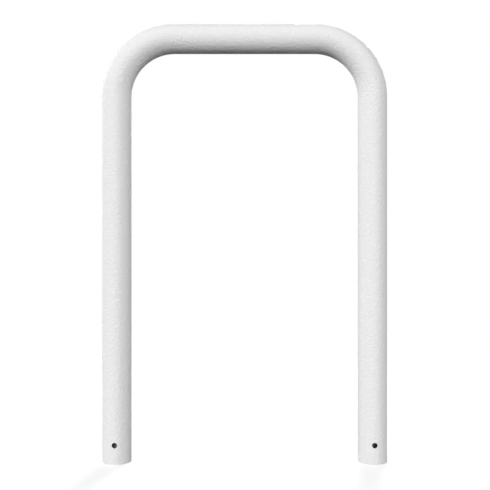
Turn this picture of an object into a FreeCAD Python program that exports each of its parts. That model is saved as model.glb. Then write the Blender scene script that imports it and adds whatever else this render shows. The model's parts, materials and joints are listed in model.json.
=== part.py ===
import FreeCAD
import Part
import Sketcher
import enum
import math
import os

# Hoop barrier of bent steel tube, for setting in concrete.
# One round tube is bent cold into an upside-down U. Each leg is drilled through from front to
# back near its foot, for the bar that anchors it, and each open foot is closed by a moulded plug.
# X runs across the hoop, Y from its front to its back and Z up. The origin lies midway between
# the feet, at the level that they stand on.

# Driving dimensions in millimetres: name, value, what it measures.
DIMENSIONS = (
    ("hoop_width", 750.0, "overall width across both legs"),
    ("hoop_height", 1150.0, "overall height from the feet to the crown of the rail"),
    ("tube_diameter", 76.1, "outside diameter of the tube"),
    ("tube_wall", 3.0, "wall thickness of the tube"),
    ("bend_radius", 152.0, "radius of each bend, on the centre line of the tube"),
    ("foot_edge_break", 0.5, "chamfer that takes the burr off both edges of a cut foot"),
    ("anchor_hole_diameter", 14.0, "cross hole through each leg"),
    ("anchor_hole_height", 50.0, "centre of the cross hole above the foot"),
    ("plug_recess", 1.0, "distance of a plug's face inside the foot"),
    ("plug_length", 24.0, "overall length of a plug"),
    ("plug_face_thickness", 3.0, "thickness of the disc that closes the bore of the tube"),
    ("plug_face_gap", 0.5, "radial gap between that disc and the bore"),
    ("plug_sleeve_wall", 2.0, "wall of the hollow sleeve that carries the ribs"),
    ("plug_sleeve_gap", 1.6, "radial gap between the sleeve and the bore"),
    ("plug_rib_clearance", 0.1, "radial gap between the ribs and the bore"),
    ("plug_rib_width", 3.0, "width of a rib round the sleeve"),
    ("plug_rib_lead", 8.0, "tapered length at the end of a rib that enters the bore first"),
    ("plug_rib_count", 8, "ribs on a plug"),
)

# Sizes that follow from the driving dimensions, written as formulas of the sheet.
LEG_OFFSET = "(Sizes.hoop_width - Sizes.tube_diameter) / 2"
RAIL_HEIGHT = "Sizes.hoop_height - Sizes.tube_diameter / 2"
BORE_DIAMETER = "Sizes.tube_diameter - 2 * Sizes.tube_wall"
BORE_RADIUS = f"({BORE_DIAMETER}) / 2"
FACE_RADIUS = f"{BORE_RADIUS} - Sizes.plug_face_gap"
SLEEVE_RADIUS = f"{BORE_RADIUS} - Sizes.plug_sleeve_gap"
SLEEVE_BORE_RADIUS = f"{SLEEVE_RADIUS} - Sizes.plug_sleeve_wall"
RIB_ROOT_RADIUS = f"{SLEEVE_RADIUS} - Sizes.plug_sleeve_wall / 2"
RIB_EDGE_RADIUS = f"{BORE_RADIUS} - Sizes.plug_rib_clearance"
RIB_REACH = f"sqrt(({RIB_EDGE_RADIUS}) ^ 2 - (Sizes.plug_rib_width / 2) ^ 2)"
PLUG_FACE = "Sizes.plug_recess"
PLUG_FLOOR = f"{PLUG_FACE} + Sizes.plug_face_thickness"
SLEEVE_END = f"{PLUG_FACE} + Sizes.plug_length"
RIB_SHOULDER = f"{SLEEVE_END} - Sizes.plug_rib_lead"
ON_AXIS = "0"

FULL_TURN = 360.0
SWEEP_TOLERANCE = 1e-4
FLOOR_TOLERANCE = 1e-3


class Point(enum.IntEnum):
    """The sketcher's numbers for the points of an edge."""
    START = 1
    END = 2
    CENTRE = 3


class Axis(enum.IntEnum):
    """The sketcher's numbers for a sketch's own axes."""
    ACROSS = -1
    UP = -2


ORIGIN = (Axis.ACROSS, Point.START)

doc = FreeCAD.newDocument("HoopBarrier")


def fill_sheet():
    """Write the driving dimensions to the document's sheet, one row each."""
    sheet = doc.addObject("Spreadsheet::Sheet", "Sizes")
    for row, (name, value, meaning) in enumerate(DIMENSIONS, start=1):
        sheet.set(f"A{row}", name)
        sheet.set(f"B{row}", str(value))
        sheet.setAlias(f"B{row}", name)
        sheet.set(f"C{row}", meaning)
    doc.recompute()
    return sheet


sizes = fill_sheet()


def measure(formula):
    """The present value of a formula, as a plain number."""
    return float(sizes.evalExpression(formula))


def require(condition, message):
    if not condition:
        raise RuntimeError(message)


def origin_feature(body, role):
    """One of the body's own planes or axes."""
    return next(item for item in body.Origin.OriginFeatures if item.Role == role)


def new_body(name):
    body = doc.addObject("PartDesign::Body", name)
    body.Label = name
    return body


def new_sketch(body, name, plane):
    sketch = body.newObject("Sketcher::SketchObject", name)
    sketch.AttachmentSupport = [(origin_feature(body, plane), "")]
    sketch.MapMode = "FlatFace"
    return sketch


def constrain(sketch, kind, *where):
    sketch.addConstraint(Sketcher.Constraint(kind, *where))


def dimension(sketch, name, formula, kind, *where):
    """Add a named dimension and bind it to a formula of the sheet."""
    index = sketch.addConstraint(Sketcher.Constraint(kind, *where, measure(formula)))
    sketch.renameConstraint(index, name)
    sketch.setExpression(f"Constraints.{name}", formula)


def add_line(sketch, start, end):
    return sketch.addGeometry(Part.LineSegment(FreeCAD.Vector(*start), FreeCAD.Vector(*end)))


def new_circle(centre, radius):
    return Part.Circle(FreeCAD.Vector(*centre), FreeCAD.Vector(0, 0, 1), radius)


def add_outline(sketch, corners):
    """Draw a closed outline on one side of a plug's axis. Each corner is a pair of formulas, its
    distance from the axis and its height, and is dimensioned by them."""
    points = [(measure(reach), measure(height)) for reach, height in corners]
    for start, end in zip(points, points[1:] + points[:1]):
        add_line(sketch, start, end)
    for line, (reach, height) in enumerate(corners):
        constrain(sketch, "Coincident", line, Point.END, (line + 1) % len(corners), Point.START)
        if reach == ON_AXIS:
            constrain(sketch, "PointOnObject", line, Point.START, Axis.UP)
        else:
            dimension(sketch, f"reach_{line}", reach, "DistanceX", *ORIGIN, line, Point.START)
        dimension(sketch, f"height_{line}", height, "DistanceY", *ORIGIN, line, Point.START)


def draw_centre_line(body):
    """The line that the tube follows: leg, bend, rail, bend and leg, each tangent to the next."""
    sketch = new_sketch(body, "CentreLine", "XZ_Plane")
    side = measure(LEG_OFFSET)
    rail_height = measure(RAIL_HEIGHT)
    radius = measure("Sizes.bend_radius")
    bend_start = rail_height - radius
    rail_half = side - radius

    left_leg = add_line(sketch, (-side, 0), (-side, bend_start))
    left_circle = new_circle((-rail_half, bend_start), radius)
    left_bend = sketch.addGeometry(Part.ArcOfCircle(left_circle, math.pi / 2, math.pi))
    rail = add_line(sketch, (-rail_half, rail_height), (rail_half, rail_height))
    right_circle = new_circle((rail_half, bend_start), radius)
    right_bend = sketch.addGeometry(Part.ArcOfCircle(right_circle, 0, math.pi / 2))
    right_leg = add_line(sketch, (side, bend_start), (side, 0))

    constrain(sketch, "Tangent", left_leg, Point.END, left_bend, Point.END)
    constrain(sketch, "Tangent", left_bend, Point.START, rail, Point.START)
    constrain(sketch, "Tangent", rail, Point.END, right_bend, Point.END)
    constrain(sketch, "Tangent", right_bend, Point.START, right_leg, Point.START)
    constrain(sketch, "Vertical", left_leg)
    constrain(sketch, "Vertical", right_leg)
    constrain(sketch, "Horizontal", rail)
    constrain(sketch, "PointOnObject", left_leg, Point.START, Axis.ACROSS)
    constrain(sketch, "PointOnObject", right_leg, Point.END, Axis.ACROSS)
    constrain(sketch, "Equal", left_bend, right_bend)
    dimension(sketch, "left_offset", LEG_OFFSET, "DistanceX", left_leg, Point.START, *ORIGIN)
    dimension(sketch, "right_offset", LEG_OFFSET, "DistanceX", *ORIGIN, right_leg, Point.END)
    dimension(sketch, "rail_height", RAIL_HEIGHT, "DistanceY", *ORIGIN, rail, Point.START)
    dimension(sketch, "bend_radius", "Sizes.bend_radius", "Radius", left_bend)
    return sketch


def draw_tube_section(body):
    """The ring that is swept along the centre line, drawn at the left foot."""
    sketch = new_sketch(body, "TubeSection", "XY_Plane")
    foot = (-measure(LEG_OFFSET), 0)
    outside = sketch.addGeometry(new_circle(foot, measure("Sizes.tube_diameter") / 2))
    bore = sketch.addGeometry(new_circle(foot, measure(BORE_DIAMETER) / 2))
    constrain(sketch, "Coincident", bore, Point.CENTRE, outside, Point.CENTRE)
    constrain(sketch, "PointOnObject", outside, Point.CENTRE, Axis.ACROSS)
    dimension(sketch, "leg_offset", LEG_OFFSET, "DistanceX", outside, Point.CENTRE, *ORIGIN)
    dimension(sketch, "tube_diameter", "Sizes.tube_diameter", "Diameter", outside)
    dimension(sketch, "bore_diameter", BORE_DIAMETER, "Diameter", bore)
    return sketch


def draw_anchor_hole(body):
    """The circle that is cut through the left leg, front wall and back wall."""
    sketch = new_sketch(body, "AnchorHoleCircle", "XZ_Plane")
    centre = (-measure(LEG_OFFSET), measure("Sizes.anchor_hole_height"))
    circle = sketch.addGeometry(new_circle(centre, measure("Sizes.anchor_hole_diameter") / 2))
    dimension(sketch, "leg_offset", LEG_OFFSET, "DistanceX", circle, Point.CENTRE, *ORIGIN)
    dimension(sketch, "hole_height", "Sizes.anchor_hole_height", "DistanceY", *ORIGIN, circle, Point.CENTRE)
    dimension(sketch, "hole_diameter", "Sizes.anchor_hole_diameter", "Diameter", circle)
    return sketch


def foot_edges(shape):
    """Names of the edges that lie on the floor: the outside and the bore of both feet."""
    return [f"Edge{number}" for number, edge in enumerate(shape.Edges, start=1)
            if abs(edge.BoundBox.ZMax) < FLOOR_TOLERANCE]


def build_hoop_tube():
    """Sweep the tube, drill both legs and take the burr off the feet."""
    body = new_body("hoop_tube")
    centre_line = draw_centre_line(body)
    section = draw_tube_section(body)
    doc.recompute()

    tube = body.newObject("PartDesign::AdditivePipe", "BentTube")
    tube.Profile = section
    tube.Spine = centre_line
    doc.recompute()
    ring_area = math.pi / 4 * (measure("Sizes.tube_diameter") ** 2 - measure(BORE_DIAMETER) ** 2)
    swept = ring_area * centre_line.Shape.Length
    require(abs(tube.Shape.Volume - swept) < SWEEP_TOLERANCE * swept, "the tube isn't its section swept")

    left_hole = body.newObject("PartDesign::Pocket", "LeftAnchorHole")
    left_hole.Profile = draw_anchor_hole(body)
    left_hole.Type = "ThroughAll"
    left_hole.SideType = "Symmetric"
    doc.recompute()
    require(left_hole.Shape.Volume < tube.Shape.Volume, "the anchor hole cuts nothing")

    right_hole = body.newObject("PartDesign::Mirrored", "RightAnchorHole")
    right_hole.Originals = [left_hole]
    right_hole.MirrorPlane = (origin_feature(body, "YZ_Plane"), [""])
    body.Tip = right_hole
    doc.recompute()
    require(right_hole.Shape.Volume < left_hole.Shape.Volume, "the second anchor hole cuts nothing")

    edge_break = body.newObject("PartDesign::Chamfer", "FootEdges")
    edge_break.Base = (right_hole, foot_edges(right_hole.Shape))
    edge_break.setExpression("Size", "Sizes.foot_edge_break")
    body.Tip = edge_break
    return body


def build_foot_plug(name, place):
    """Mould a plug on the axis of its leg: a disc that closes the bore, a hollow sleeve above it,
    and upright ribs round the sleeve that grip the bore and taper where they enter it."""
    body = new_body(name)
    body.setExpression("Placement.Base.x", place)

    cup_outline = new_sketch(body, "CupOutline", "XZ_Plane")
    add_outline(cup_outline, (
        (ON_AXIS, PLUG_FACE),
        (FACE_RADIUS, PLUG_FACE),
        (FACE_RADIUS, PLUG_FLOOR),
        (SLEEVE_RADIUS, PLUG_FLOOR),
        (SLEEVE_RADIUS, SLEEVE_END),
        (SLEEVE_BORE_RADIUS, SLEEVE_END),
        (SLEEVE_BORE_RADIUS, PLUG_FLOOR),
        (ON_AXIS, PLUG_FLOOR),
    ))
    cup = body.newObject("PartDesign::Revolution", "Cup")
    cup.Profile = cup_outline
    cup.ReferenceAxis = (cup_outline, ["V_Axis"])
    cup.Angle = FULL_TURN
    doc.recompute()

    rib_outline = new_sketch(body, "RibOutline", "XZ_Plane")
    add_outline(rib_outline, (
        (RIB_ROOT_RADIUS, PLUG_FLOOR),
        (RIB_REACH, PLUG_FLOOR),
        (RIB_REACH, RIB_SHOULDER),
        (SLEEVE_RADIUS, SLEEVE_END),
        (RIB_ROOT_RADIUS, SLEEVE_END),
    ))
    rib = body.newObject("PartDesign::Pad", "FirstRib")
    rib.Profile = rib_outline
    rib.SideType = "Symmetric"
    rib.setExpression("Length", "Sizes.plug_rib_width")
    doc.recompute()
    require(rib.Shape.Volume > cup.Shape.Volume, "the rib adds nothing")

    ribs = body.newObject("PartDesign::PolarPattern", "Ribs")
    ribs.Originals = [rib]
    ribs.Axis = (origin_feature(body, "Z_Axis"), [""])
    ribs.Angle = FULL_TURN
    ribs.setExpression("Occurrences", "Sizes.plug_rib_count")
    body.Tip = ribs
    doc.recompute()
    return body


def check_document(sub_parts):
    """Stop if any object failed, or any sub-part isn't one sound solid."""
    for item in doc.Objects:
        failed = "Invalid" in item.State or "Error" in item.State
        require(not failed, f"{item.Label} failed to compute: {item.State}")
    for body in sub_parts:
        shape = body.Shape
        require(not shape.isNull() and shape.isValid(), f"{body.Label} has no valid shape")
        require(len(shape.Solids) == 1, f"{body.Label} isn't one solid")


def write_parts(sub_parts):
    os.makedirs("parts", exist_ok=True)
    for body in sub_parts:
        body.Shape.exportStep(f"parts/{body.Label}.step")
        box = body.Shape.optimalBoundingBox()
        print(f"{body.Label}: {body.Shape.Volume:.0f} mm3, x {box.XMin:.2f} to {box.XMax:.2f}, "
              f"y {box.YMin:.2f} to {box.YMax:.2f}, z {box.ZMin:.2f} to {box.ZMax:.2f}")


parts = [
    build_hoop_tube(),
    build_foot_plug("left_foot_plug", f"-({LEG_OFFSET})"),
    build_foot_plug("right_foot_plug", LEG_OFFSET),
]
doc.recompute()
check_document(parts)
write_parts(parts)
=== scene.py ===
# %% [markdown]
# A hoop barrier in a white studio.
# The real object is one steel tube, bent twice into an upside-down U, galvanised and powder coated white.
# Near each foot a hole is drilled through the leg, and a plastic plug closes the cut end.
# The CAD model already fixes every size. This lesson makes the tube again as a mesh with rounded edges, and
# gives each surface its finish.

# %% Load the CAD parts
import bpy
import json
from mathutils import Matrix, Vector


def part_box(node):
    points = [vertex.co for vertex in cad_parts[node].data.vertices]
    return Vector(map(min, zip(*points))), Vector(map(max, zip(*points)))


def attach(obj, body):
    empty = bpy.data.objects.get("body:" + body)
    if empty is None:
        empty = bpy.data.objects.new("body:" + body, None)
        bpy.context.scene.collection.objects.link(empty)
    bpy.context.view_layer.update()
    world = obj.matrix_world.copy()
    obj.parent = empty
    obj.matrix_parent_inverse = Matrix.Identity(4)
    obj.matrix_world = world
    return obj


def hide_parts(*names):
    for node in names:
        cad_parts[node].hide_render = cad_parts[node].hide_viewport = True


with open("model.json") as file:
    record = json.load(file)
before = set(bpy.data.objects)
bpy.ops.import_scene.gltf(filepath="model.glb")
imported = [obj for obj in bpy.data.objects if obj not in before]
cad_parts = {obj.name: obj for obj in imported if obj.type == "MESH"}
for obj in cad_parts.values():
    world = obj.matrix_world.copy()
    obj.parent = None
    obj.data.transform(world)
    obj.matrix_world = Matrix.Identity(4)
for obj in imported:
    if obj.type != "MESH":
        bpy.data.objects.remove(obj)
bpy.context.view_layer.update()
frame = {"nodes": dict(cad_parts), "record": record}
print("CAD parts:", sorted(frame["nodes"]))

# %% [markdown]
# A tube model needs very few numbers. The box of the CAD tube gives the tube's radius, the place of
# the legs and the height of the rail, and the record gives the drilled holes.
# Only the bend radius and the wall can't be read from a box, so they are named here.
# Blender counts in metres, so only a name that ends in MM holds millimetres.

# %% Read the sizes of the hoop
import math

import bmesh
import bpy
from mathutils import Matrix, Vector

MM_PER_METRE = 1000
BEND_RADIUS = 0.152
WALL = 0.003

_, tube_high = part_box("hoop_tube")
tube_radius = tube_high.y
bore_radius = tube_radius - WALL
leg_offset = tube_high.x - tube_radius
rail_height = tube_high.z - tube_radius
leg_height = rail_height - BEND_RADIUS

mounts = {mount["name"]: mount for mount in frame["record"]["mounts"]}
drilled = mounts["left_anchor_hole"]
hole_radius = drilled["dims"]["r_mm"] / MM_PER_METRE
hole_height = drilled["pos_m"][2]
print(f"Tube {2 * tube_radius * MM_PER_METRE:.1f} mm across, rail {rail_height * MM_PER_METRE:.1f} mm up")
print(f"Legs {2 * leg_offset * MM_PER_METRE:.1f} mm apart")
print(f"Holes {2 * hole_radius * MM_PER_METRE:.1f} mm across, {hole_height * MM_PER_METRE:.1f} mm up")

# %% [markdown]
# The tube has two skins, one that the paint covers and one round the bore. Both follow the same line:
# up a leg, round a quarter bend, along the rail. A curve with a round bevel would give such a skin too,
# but a ring that is extruded and spun has faces exactly where the drilled hole will need them.
# Only the left half is made. The right half is its mirror image.

# %% Plan the rings along the tube
SIDES = 96
BEND_RINGS = 36
LONGEST_STEP = 0.015
RIM_STEP = 0.002
PATCH_FACES = 8

side_width = 2 * math.pi * tube_radius / SIDES
patch_reach = side_width * PATCH_FACES / 2
patch_bottom = hole_height - patch_reach
patch_top = hole_height + patch_reach


def even_steps(run):
    """Cut a run along the tube into equal steps, none of them longer than the longest step."""
    count = math.ceil(run / LONGEST_STEP)
    return [run / count] * count


leg_steps = [RIM_STEP]
leg_steps += even_steps(patch_bottom - RIM_STEP)
leg_steps += [side_width] * PATCH_FACES
leg_steps += even_steps(leg_height - patch_top)
rail_steps = even_steps(leg_offset - BEND_RADIUS)
print(f"{len(leg_steps)} steps up a leg, {BEND_RINGS} round a bend, {len(rail_steps)} along half the rail")

# %% [markdown]
# A skin grows ring by ring. Extruding the open rim of the tube and moving what comes out adds one ring of
# faces. Spinning the rim about the centre of the bend adds all the rings of that bend at once.

# %% Sweep one skin of the left half
QUARTER_TURN = math.radians(90)


def only(kind, parts):
    """Pick the points or the edges out of what an operator gives back."""
    return [part for part in parts if isinstance(part, kind)]


def edges_at(verts):
    """List the edges that meet at some points, each of them once."""
    return list({edge for vert in verts for edge in vert.link_edges})


def grow(bm, rim, step):
    """Extrude an open rim of edges by one step and return the rim that moved."""
    grown = bmesh.ops.extrude_edge_only(bm, edges=rim)["geom"]
    moved = set(only(bmesh.types.BMVert, grown))
    bmesh.ops.translate(bm, verts=list(moved), vec=step)
    return [edge for edge in only(bmesh.types.BMEdge, grown) if moved.issuperset(edge.verts)]


def sweep_skin(bm, radius):
    """Carry a ring up the left leg, round its bend and along half the rail. Return the foot's rim."""
    stand = Matrix.Translation((-leg_offset, 0, 0))
    ring = bmesh.ops.create_circle(bm, segments=SIDES, radius=radius, matrix=stand)["verts"]
    foot = edges_at(ring)
    rim = foot
    for rise in leg_steps:
        rim = grow(bm, rim, (0, 0, rise))
    rim_verts = list({vert for edge in rim for vert in edge.verts})
    bend = bmesh.ops.spin(bm, geom=rim + rim_verts, cent=(BEND_RADIUS - leg_offset, 0, leg_height),
                          axis=(0, 1, 0), angle=QUARTER_TURN, steps=BEND_RINGS)
    rim = only(bmesh.types.BMEdge, bend["geom_last"])
    for reach in rail_steps:
        rim = grow(bm, rim, (reach, 0, 0))
    print(f"Skin of {radius * MM_PER_METRE:.2f} mm radius swept, now {len(bm.faces)} faces")
    return foot


# %% [markdown]
# A drill leaves a round hole in a round wall. A Boolean modifier could cut it, but it leaves long thin
# faces around the hole, and those shade badly. Here a square patch of faces is taken out instead, a circle
# is laid on the tube in its place, and the two outlines are bridged by a collar of even four-sided faces.

# %% Open a drilled hole in a skin
COLLAR_CUTS = 2


def lay_on_tube(verts, radius):
    """Push points straight out from the left leg's axis until they lie on a skin."""
    for vert in verts:
        outward = Vector((vert.co.x + leg_offset, vert.co.y)).normalized() * radius
        vert.co.x = outward.x - leg_offset
        vert.co.y = outward.y


def open_hole(bm, radius, side):
    """Swap a square patch for a collar that runs in to the drilled circle. Return the circle's edges."""
    patch = set()
    for face in bm.faces:
        centre = face.calc_center_median()
        across = centre.x + leg_offset
        depth = centre.y * side
        on_skin = abs(math.hypot(across, depth) - radius) < WALL / 2
        in_reach = max(abs(across), abs(centre.z - hole_height)) < patch_reach
        if on_skin and in_reach and depth > 0:
            patch.add(face)
    outline = []
    for face in patch:
        outline += [edge for edge in face.edges if len(patch.intersection(edge.link_faces)) == 1]
    bmesh.ops.delete(bm, geom=list(patch), context="FACES")

    drill_line = Matrix.Rotation(QUARTER_TURN, 4, "X")
    drill_line.translation = (-leg_offset, 0, hole_height)
    circle = bmesh.ops.create_circle(bm, segments=len(outline), radius=hole_radius, matrix=drill_line)
    for vert in circle["verts"]:
        vert.co.y = side * math.sqrt(radius**2 - (vert.co.x + leg_offset) ** 2)
    rim = edges_at(circle["verts"])

    collar = bmesh.ops.bridge_loops(bm, edges=outline + rim)
    spokes = [edge for edge in collar["edges"] if edge not in rim and edge not in outline]
    cut = bmesh.ops.subdivide_edges(bm, edges=spokes, cuts=COLLAR_CUTS)
    lay_on_tube(only(bmesh.types.BMVert, cut["geom_inner"]), radius)
    print(f"Hole of {len(rim)} edges opened in the skin of {radius * MM_PER_METRE:.2f} mm radius")
    return rim


# %% [markdown]
# Now the two skins are made, each with its hole at the front and at the back. Bridging the matching rims
# closes the wall of the tube at the cut end and inside the drilled holes, so that the wall has its real
# thickness there. Each face is marked for one of three materials: painted outside, zinc in the bore, and
# bare steel where the drill went through.

# %% Build the left half of the hoop
COAT, ZINC, DRILLED = 0, 1, 2
FRONT, BACK = -1, 1

hoop = bmesh.new()
outer_foot = sweep_skin(hoop, tube_radius)
outer_holes = [open_hole(hoop, tube_radius, side) for side in (FRONT, BACK)]
painted = set(hoop.faces)
inner_foot = sweep_skin(hoop, bore_radius)
inner_holes = [open_hole(hoop, bore_radius, side) for side in (FRONT, BACK)]
for face in hoop.faces:
    face.material_index = COAT if face in painted else ZINC

foot_wall = bmesh.ops.bridge_loops(hoop, edges=outer_foot + inner_foot)
for face in foot_wall["faces"]:
    face.material_index = COAT
for outer_rim, inner_rim in zip(outer_holes, inner_holes):
    hole_wall = bmesh.ops.bridge_loops(hoop, edges=outer_rim + inner_rim)
    for face in hole_wall["faces"]:
        face.material_index = DRILLED
print(f"Left half: {len(hoop.faces)} faces")

# %% [markdown]
# A real edge is never quite sharp. The sawn feet are filed, and then the paint rounds them further. The holes
# are drilled last, so their edges only lose their burr. A small bevel on such an edge catches a thin line of
# light, which tells the eye how thick the wall is.
# A bevel reads which way the faces beside an edge point, so their normals are put right first.

# %% Round the sawn and drilled edges
FOOT_ROUND = 0.0006
HOLE_ROUND = 0.0002
ROUND_SEGMENTS = 3

bmesh.ops.recalc_face_normals(hoop, faces=hoop.faces[:])
foot_edges = outer_foot + inner_foot
hole_edges = outer_holes[0] + outer_holes[1]
for edges, size in ((foot_edges, FOOT_ROUND), (hole_edges, HOLE_ROUND)):
    bmesh.ops.bevel(hoop, geom=edges, offset=size, offset_type="OFFSET", segments=ROUND_SEGMENTS,
                    profile=0.5, affect="EDGES", clamp_overlap=True, material=-1)
    print(f"Rounded {len(edges)} edges by {size * MM_PER_METRE:.1f} mm, now {len(hoop.faces)} faces")

# %% [markdown]
# The other half is a mirror image. Mirroring turns faces inside out and leaves two rows of points on the
# middle plane, so the doubles are merged first, and then the normals are made to point outwards again.
# A closed mesh has no open edge left, and its volume can be checked against the CAD part.

# %% Mirror the half and close the hoop
MERGE_DISTANCE = 1e-5
CM_PER_METRE = 100

left_half = hoop.verts[:] + hoop.edges[:] + hoop.faces[:]
bmesh.ops.mirror(hoop, geom=left_half, axis="X", merge_dist=MERGE_DISTANCE)
bmesh.ops.remove_doubles(hoop, verts=hoop.verts[:], dist=MERGE_DISTANCE)
bmesh.ops.recalc_face_normals(hoop, faces=hoop.faces[:])
for face in hoop.faces:
    face.smooth = True
open_edges = sum(not edge.is_manifold for edge in hoop.edges)
volume = hoop.calc_volume() * CM_PER_METRE**3
print(f"Whole hoop: {len(hoop.faces)} faces, {open_edges} open edges, {volume:.1f} cubic centimetres")

# %% [markdown]
# A bmesh is only a workbench. To be seen, its result goes into a mesh, the mesh into an object, and the
# object into the scene. The lamps and the camera take the last two steps too, so these two get a function.


# %% Show the hoop in the scene
def put_in_scene(name, data):
    """Make an object of a mesh, a lamp or a camera, and add it to the scene."""
    thing = bpy.data.objects.new(name, data)
    bpy.context.scene.collection.objects.link(thing)
    return thing


def bmesh_to_scene(name, bm):
    """Turn a bmesh that is ready into an object of the scene."""
    mesh = bpy.data.meshes.new(name)
    bm.to_mesh(mesh)
    bm.free()
    return put_in_scene(name, mesh)


coated_hoop = bmesh_to_scene("coated_hoop", hoop)
print("Points in the hoop's mesh:", len(coated_hoop.data.vertices))

# %% [markdown]
# Every finish below is a small node tree. Colours are easiest to choose as the hex values of a paint
# chart, but shaders count light, so one function turns sRGB into linear values.
# A second function adds a node, sets it up and links it, which keeps the trees short to read.


# %% Helpers for colours and shader nodes
def linear(hex_code):
    """Turn an sRGB hex colour into the linear values that a shader works with."""
    channels = [int(hex_code[start : start + 2], 16) / 255 for start in (1, 3, 5)]
    return [c / 12.92 if c <= 0.04045 else ((c + 0.055) / 1.055) ** 2.4 for c in channels] + [1.0]


def add_node(tree, kind, inputs, **settings):
    """Add a node, give it its settings, and fill or link its inputs."""
    node = tree.nodes.new(kind)
    for name, value in settings.items():
        setattr(node, name, value)
    for name, value in inputs.items():
        if isinstance(value, bpy.types.NodeSocket):
            tree.links.new(value, node.inputs[name])
        else:
            node.inputs[name].default_value = value
    return node


def empty_tree(owner):
    """Switch a material or the world to nodes and clear its tree."""
    owner.use_nodes = True
    owner.node_tree.nodes.clear()
    return owner.node_tree


MIX_FACTOR, MIX_FIRST, MIX_SECOND, MIX_RESULT = 0, 6, 7, 2  # the colour sockets of a Mix node
WHITE = linear("#FFFFFF")
print("White in linear light:", WHITE)

# %% [markdown]
# Powder coat is sprayed on dry and melted in an oven. It flows together into a thick, even skin, but never
# quite flat: a fine-textured coat keeps a grain that scatters the light, so it looks soft and matt. The tops
# of the grain are painted a little paler, a painted highlight where the raised grain catches the light. Here
# and there a lump of powder leaves a raised speck, and its paler colour is a painted glint.
# Real grain is under a millimetre wide. At this camera distance a pixel covers more than two, so the grain
# is drawn coarser and deeper than it is, or it wouldn't show.

# %% White powder coat
GRAIN_MM = 5.0
GRAIN_DEPTH = 0.0018
# The paler top colour is a painted highlight on the grain's tops, and the speck colour is a painted glint.
HOLLOW_COLOUR, TOP_HIGHLIGHT_COLOUR, SPECK_GLINT_COLOUR = "#EBEBEB", "#F0F0F0", "#FCFCFC"
HIGHLIGHT_START, HIGHLIGHT_END = 0.5, 0.75
SPECK_SPACING_MM = 16
SPECK_RADIUS_MM = 2.5
SPECK_RISE = 0.25
CLOUD_MM = 60
COAT_SMOOTHEST, COAT_ROUGHEST = 0.6, 0.7

powder_coat = bpy.data.materials.new("white_fine_textured_powder_coat")
tree = empty_tree(powder_coat)
place = add_node(tree, "ShaderNodeTexCoord", {}).outputs["Object"]
grain = add_node(tree, "ShaderNodeTexNoise",
                 {"Vector": place, "Scale": MM_PER_METRE / GRAIN_MM, "Detail": 1.0})
clouds = add_node(tree, "ShaderNodeTexNoise",
                  {"Vector": place, "Scale": MM_PER_METRE / CLOUD_MM, "Detail": 3.0})
lumps = add_node(tree, "ShaderNodeTexVoronoi", {"Vector": place, "Scale": MM_PER_METRE / SPECK_SPACING_MM})
speck_edge = SPECK_RADIUS_MM / SPECK_SPACING_MM
# The specks are raised in the bump, and their paler colour is a painted glint.
specks_and_glints = add_node(tree, "ShaderNodeMapRange",
                  {"Value": lumps.outputs["Distance"], "From Min": speck_edge, "From Max": speck_edge / 2},
                  interpolation_type="SMOOTHSTEP")
# Painted highlight: the upper part of the grain takes the paler top colour.
top_highlight = add_node(tree, "ShaderNodeMapRange",
                {"Value": grain.outputs["Fac"], "From Min": HIGHLIGHT_START, "From Max": HIGHLIGHT_END})
coat_and_top_highlight = add_node(tree, "ShaderNodeMix",
                {MIX_FACTOR: top_highlight.outputs["Result"], MIX_FIRST: linear(HOLLOW_COLOUR),
                 MIX_SECOND: linear(TOP_HIGHLIGHT_COLOUR)},
                data_type="RGBA")
colour = add_node(tree, "ShaderNodeMix",
                  {MIX_FACTOR: specks_and_glints.outputs["Result"], MIX_FIRST: coat_and_top_highlight.outputs[MIX_RESULT],
                   MIX_SECOND: linear(SPECK_GLINT_COLOUR)},
                  data_type="RGBA")
gloss = add_node(tree, "ShaderNodeMapRange",
                 {"Value": clouds.outputs["Fac"], "To Min": COAT_SMOOTHEST, "To Max": COAT_ROUGHEST})
relief = add_node(tree, "ShaderNodeMath",
                  {0: specks_and_glints.outputs["Result"], 1: SPECK_RISE, 2: grain.outputs["Fac"]},
                  operation="MULTIPLY_ADD")
bump = add_node(tree, "ShaderNodeBump", {"Height": relief.outputs["Value"], "Distance": GRAIN_DEPTH})
shader = add_node(tree, "ShaderNodeBsdfPrincipled",
                  {"Base Color": colour.outputs[MIX_RESULT], "Roughness": gloss.outputs["Result"], "IOR": 1.5,
                   "Specular IOR Level": 0.25, "Normal": bump.outputs["Normal"]})
add_node(tree, "ShaderNodeOutputMaterial", {"Surface": shader.outputs["BSDF"]})
print("Powder coat nodes:", len(tree.nodes))

# %% [markdown]
# The bore gets no powder: the tube is hot-dip galvanised before it is painted, and inside it stays that way.
# Zinc that cools on steel freezes in flat crystals, a few millimetres across, each a slightly different grey.
# A Voronoi texture divides space into cells in the same way. Old zinc has a dull, pale skin, so it counts as
# a metal only in part. All that shows of it is seen through the holes.

# %% Galvanised bore
CRYSTAL_MM = 6
CRYSTAL_GREY, CRYSTAL_PALE = "#B9BCBE", "#CCCFD1"
ZINC_SMOOTHEST, ZINC_ROUGHEST = 0.5, 0.65

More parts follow.
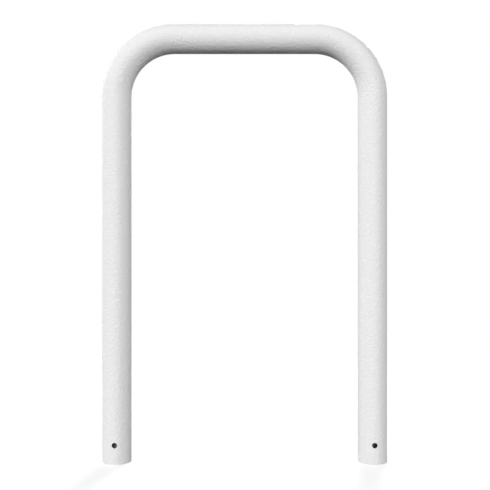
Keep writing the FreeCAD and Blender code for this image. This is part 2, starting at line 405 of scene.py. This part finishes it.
bore_zinc = bpy.data.materials.new("hot_dip_galvanised_steel")
tree = empty_tree(bore_zinc)
place = add_node(tree, "ShaderNodeTexCoord", {}).outputs["Object"]
crystals = add_node(tree, "ShaderNodeTexVoronoi", {"Vector": place, "Scale": MM_PER_METRE / CRYSTAL_MM})
zinc = add_node(tree, "ShaderNodeMix",
                {MIX_FACTOR: crystals.outputs["Color"], MIX_FIRST: linear(CRYSTAL_GREY),
                 MIX_SECOND: linear(CRYSTAL_PALE)},
                data_type="RGBA")
gloss = add_node(tree, "ShaderNodeMapRange",
                 {"Value": crystals.outputs["Distance"], "To Min": ZINC_SMOOTHEST, "To Max": ZINC_ROUGHEST})
shader = add_node(tree, "ShaderNodeBsdfPrincipled",
                  {"Base Color": zinc.outputs[MIX_RESULT], "Metallic": 0.2,
                   "Roughness": gloss.outputs["Result"]})
add_node(tree, "ShaderNodeOutputMaterial", {"Surface": shader.outputs["BSDF"]})
print("Bore nodes:", len(tree.nodes))

# %% [markdown]
# The holes are drilled through the finished tube, so their walls are bare steel. Their dark colour is painted
# shade inside the holes.
# A drill leaves fine rings round the hole. They are bands along the drill's line, which is the Y axis here.
# They are drawn about twice as coarse as a drill leaves them, so that they show in a close view.

# %% Drilled steel
DRILL_RING_MM = 0.4
DRILL_RING_DEPTH = 0.00002
# Both ring colours are painted shade: far darker than bare steel, so the hole walls read as shaded.
SHADED_RING_DARK, SHADED_RING_PALE = "#2E2C2A", "#403D3A"
WAVE_RADIANS = 20  # a Wave texture turns one unit of its coordinate into this many radians

drilled_steel = bpy.data.materials.new("drilled_steel_with_painted_shade")
tree = empty_tree(drilled_steel)
place = add_node(tree, "ShaderNodeTexCoord", {}).outputs["Object"]
rings_per_metre = MM_PER_METRE / DRILL_RING_MM
rings = add_node(tree, "ShaderNodeTexWave",
                 {"Vector": place, "Scale": 2 * math.pi * rings_per_metre / WAVE_RADIANS, "Distortion": 1.0},
                 bands_direction="Y")
steel = add_node(tree, "ShaderNodeMix",
                 {MIX_FACTOR: rings.outputs["Fac"], MIX_FIRST: linear(SHADED_RING_DARK),
                  MIX_SECOND: linear(SHADED_RING_PALE)},
                 data_type="RGBA")
bump = add_node(tree, "ShaderNodeBump", {"Height": rings.outputs["Fac"], "Distance": DRILL_RING_DEPTH})
shader = add_node(tree, "ShaderNodeBsdfPrincipled",
                  {"Base Color": steel.outputs[MIX_RESULT], "Metallic": 1.0, "Roughness": 0.45,
                   "Normal": bump.outputs["Normal"]})
add_node(tree, "ShaderNodeOutputMaterial", {"Surface": shader.outputs["BSDF"]})
print("Drilled steel nodes:", len(tree.nodes))

# %% [markdown]
# The finished mesh takes the place of the plain CAD tube. It moves with the CAD body.

# %% Put the coated hoop in the place of the CAD tube
for finish in (powder_coat, bore_zinc, drilled_steel):
    coated_hoop.data.materials.append(finish)
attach(coated_hoop, "root")
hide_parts("hoop_tube")

# %% [markdown]
# The plugs in the feet are injection moulded in black polyethylene, a waxy plastic with a soft sheen.
# The mould was spark eroded, which leaves a fine, even pebble. The CAD parts have the right shape already,
# cup, ribs and all, so they only get this finish. The pebble is drawn coarser than it is, so that it shows.

# %% Moulded polyethylene plugs
PEBBLE_MM = 1.2
PEBBLE_DEPTH = 0.00003
PEBBLE_DARK, PEBBLE_PALE = "#161617", "#222224"
PLUG_SMOOTHEST, PLUG_ROUGHEST = 0.4, 0.55

polyethylene = bpy.data.materials.new("black_moulded_polyethylene")
tree = empty_tree(polyethylene)
place = add_node(tree, "ShaderNodeTexCoord", {}).outputs["Object"]
pebble = add_node(tree, "ShaderNodeTexNoise",
                  {"Vector": place, "Scale": MM_PER_METRE / PEBBLE_MM, "Detail": 2.0})
black = add_node(tree, "ShaderNodeMix",
                 {MIX_FACTOR: pebble.outputs["Fac"], MIX_FIRST: linear(PEBBLE_DARK),
                  MIX_SECOND: linear(PEBBLE_PALE)},
                 data_type="RGBA")
gloss = add_node(tree, "ShaderNodeMapRange",
                 {"Value": pebble.outputs["Fac"], "To Min": PLUG_SMOOTHEST, "To Max": PLUG_ROUGHEST})
bump = add_node(tree, "ShaderNodeBump", {"Height": pebble.outputs["Fac"], "Distance": PEBBLE_DEPTH})
shader = add_node(tree, "ShaderNodeBsdfPrincipled",
                  {"Base Color": black.outputs[MIX_RESULT], "Roughness": gloss.outputs["Result"], "IOR": 1.51,
                   "Normal": bump.outputs["Normal"]})
add_node(tree, "ShaderNodeOutputMaterial", {"Surface": shader.outputs["BSDF"]})
for plug in ("left_foot_plug", "right_foot_plug"):
    frame["nodes"][plug].data.materials.clear()
    frame["nodes"][plug].data.materials.append(polyethylene)
print("Plug nodes:", len(tree.nodes))

# %% [markdown]
# The photograph stands the hoop on nothing but white. A floor that is white to the camera does the same and
# still keeps a soft shadow round the feet. A floor as white as that would throw light up under the rail,
# where the photograph is dark, so light that bounces meets a grey floor instead. Light Path tells them apart.

# %% White floor
FLOOR_REACH = 30
FLOOR_COLOUR, BOUNCE_COLOUR = "#CFCFCF", "#404040"
FLOOR_GLOW = 0.52
SHADOW_REACH = 0.9
WHITE_REACH = 2.5


def seen_or_mirrored(tree):
    """Give 1 for a ray from the camera, or for one that a mirror or glass sends on, and 0 for other light."""
    path = add_node(tree, "ShaderNodeLightPath", {}).outputs
    bent = add_node(tree, "ShaderNodeMath", {0: path["Is Glossy Ray"], 1: path["Is Transmission Ray"]},
                    operation="MAXIMUM")
    return add_node(tree, "ShaderNodeMath", {0: bent.outputs["Value"], 1: path["Is Camera Ray"]},
                    operation="MAXIMUM").outputs["Value"]


floor_paper = bpy.data.materials.new("matt_white_studio_floor")
tree = empty_tree(floor_paper)
paper = add_node(tree, "ShaderNodeBsdfDiffuse", {"Color": linear(FLOOR_COLOUR)})
glow = add_node(tree, "ShaderNodeEmission", {"Color": WHITE, "Strength": FLOOR_GLOW})
near = add_node(tree, "ShaderNodeAddShader", {0: paper.outputs["BSDF"], 1: glow.outputs["Emission"]})
far = add_node(tree, "ShaderNodeEmission", {"Color": WHITE, "Strength": 1.0})
place = add_node(tree, "ShaderNodeTexCoord", {}).outputs["Object"]
distance = add_node(tree, "ShaderNodeVectorMath", {0: place}, operation="LENGTH")
fade = add_node(tree, "ShaderNodeMapRange",
                {"Value": distance.outputs["Value"], "From Min": SHADOW_REACH, "From Max": WHITE_REACH},
                interpolation_type="SMOOTHSTEP")
white = add_node(tree, "ShaderNodeMixShader",
                 {0: fade.outputs["Result"], 1: near.outputs["Shader"], 2: far.outputs["Emission"]})
grey = add_node(tree, "ShaderNodeBsdfDiffuse", {"Color": linear(BOUNCE_COLOUR)})
shown = add_node(tree, "ShaderNodeMixShader",
                 {0: seen_or_mirrored(tree), 1: grey.outputs["BSDF"], 2: white.outputs["Shader"]})
add_node(tree, "ShaderNodeOutputMaterial", {"Surface": shown.outputs["Shader"]})

sheet = bmesh.new()
bmesh.ops.create_grid(sheet, x_segments=1, y_segments=1, size=FLOOR_REACH)
floor = bmesh_to_scene("studio_floor", sheet)
floor.data.materials.append(floor_paper)
print(f"Floor {2 * FLOOR_REACH} m wide")

# %% [markdown]
# The shading in the photograph tells where its light came from. Both legs are palest on the left and darker
# on the right, and the rail is pale from its top to its middle and dark below. So one lamp stands at the
# left, one as strong above the camera and a low, weak one at the right. The sky of the studio fills in.
# The lamp above the camera also shines into the drilled holes, which would be black without it.
# Two lamps behind are for whoever walks round. They also light the legs' left rims and the top of the rail.
# The legs are as pale at the feet as under the bends, so the lamps were far away. In Blender that is a sun,
# whose light doesn't fade on its way. A sun that looks wide from where the hoop stands is a soft one.

# %% Studio light
SKY_LEVEL = 0.14

world = bpy.data.worlds.new("white_studio")
bpy.context.scene.world = world
tree = empty_tree(world)
backdrop = add_node(tree, "ShaderNodeBackground", {"Color": WHITE, "Strength": 1.0}).outputs["Background"]
sky = add_node(tree, "ShaderNodeBackground", {"Color": WHITE, "Strength": SKY_LEVEL}).outputs["Background"]
studio = add_node(tree, "ShaderNodeMixShader", {0: seen_or_mirrored(tree), 1: sky, 2: backdrop})
add_node(tree, "ShaderNodeOutputWorld", {"Surface": studio.outputs["Shader"]})


def add_soft_sun(name, azimuth, elevation, width, strength):
    """Add a far lamp by its degrees round from the camera, up from the floor and across, and its strength."""
    light = bpy.data.lights.new(name, "SUN")
    light.energy = strength
    light.angle = math.radians(width)
    lamp = put_in_scene(name, light)
    lamp.rotation_euler = (QUARTER_TURN - math.radians(elevation), 0, math.radians(azimuth))
    print(f"{name}: {strength} W a square metre, {azimuth} degrees from the camera, {elevation} degrees up")


add_soft_sun("left_lamp", azimuth=-60, elevation=20, width=20, strength=1.67)
add_soft_sun("front_lamp", azimuth=1.5, elevation=14, width=17, strength=1.72)
add_soft_sun("right_lamp", azimuth=67, elevation=8, width=20, strength=0.66)
add_soft_sun("back_left_lamp", azimuth=-130, elevation=20, width=20, strength=0.86)
add_soft_sun("back_lamp", azimuth=168, elevation=26, width=25, strength=2.4)

# %% [markdown]
# In the photograph both legs are upright and the rail is level, so the camera looked straight ahead. The rail
# shows its underside and the feet their front rims, equally far from the middle of the picture, so the camera
# stood at half the hoop's height. How much the feet's rims curve tells how near it was.

# %% Camera
CAMERA_DISTANCE = 1.927
EYE_HEIGHT = 0.569
LENS_MM = 53.66
SENSOR_MM = 36.0
SHIFT_RIGHT = 0.0007

camera_data = bpy.data.cameras.new("camera")
camera_data.lens = LENS_MM
camera_data.sensor_width = SENSOR_MM
camera_data.shift_x = SHIFT_RIGHT
camera = put_in_scene("camera", camera_data)
camera.location = (0, -CAMERA_DISTANCE, EYE_HEIGHT)
camera.rotation_euler = (QUARTER_TURN, 0, 0)
bpy.context.scene.camera = camera
bpy.context.scene.view_settings.view_transform = "Standard"
print(f"Camera {CAMERA_DISTANCE} m in front of the hoop, {EYE_HEIGHT} m up, {LENS_MM} mm lens")

# %% [markdown]
# Last, the json module is loaded.

# %% Load json
import json
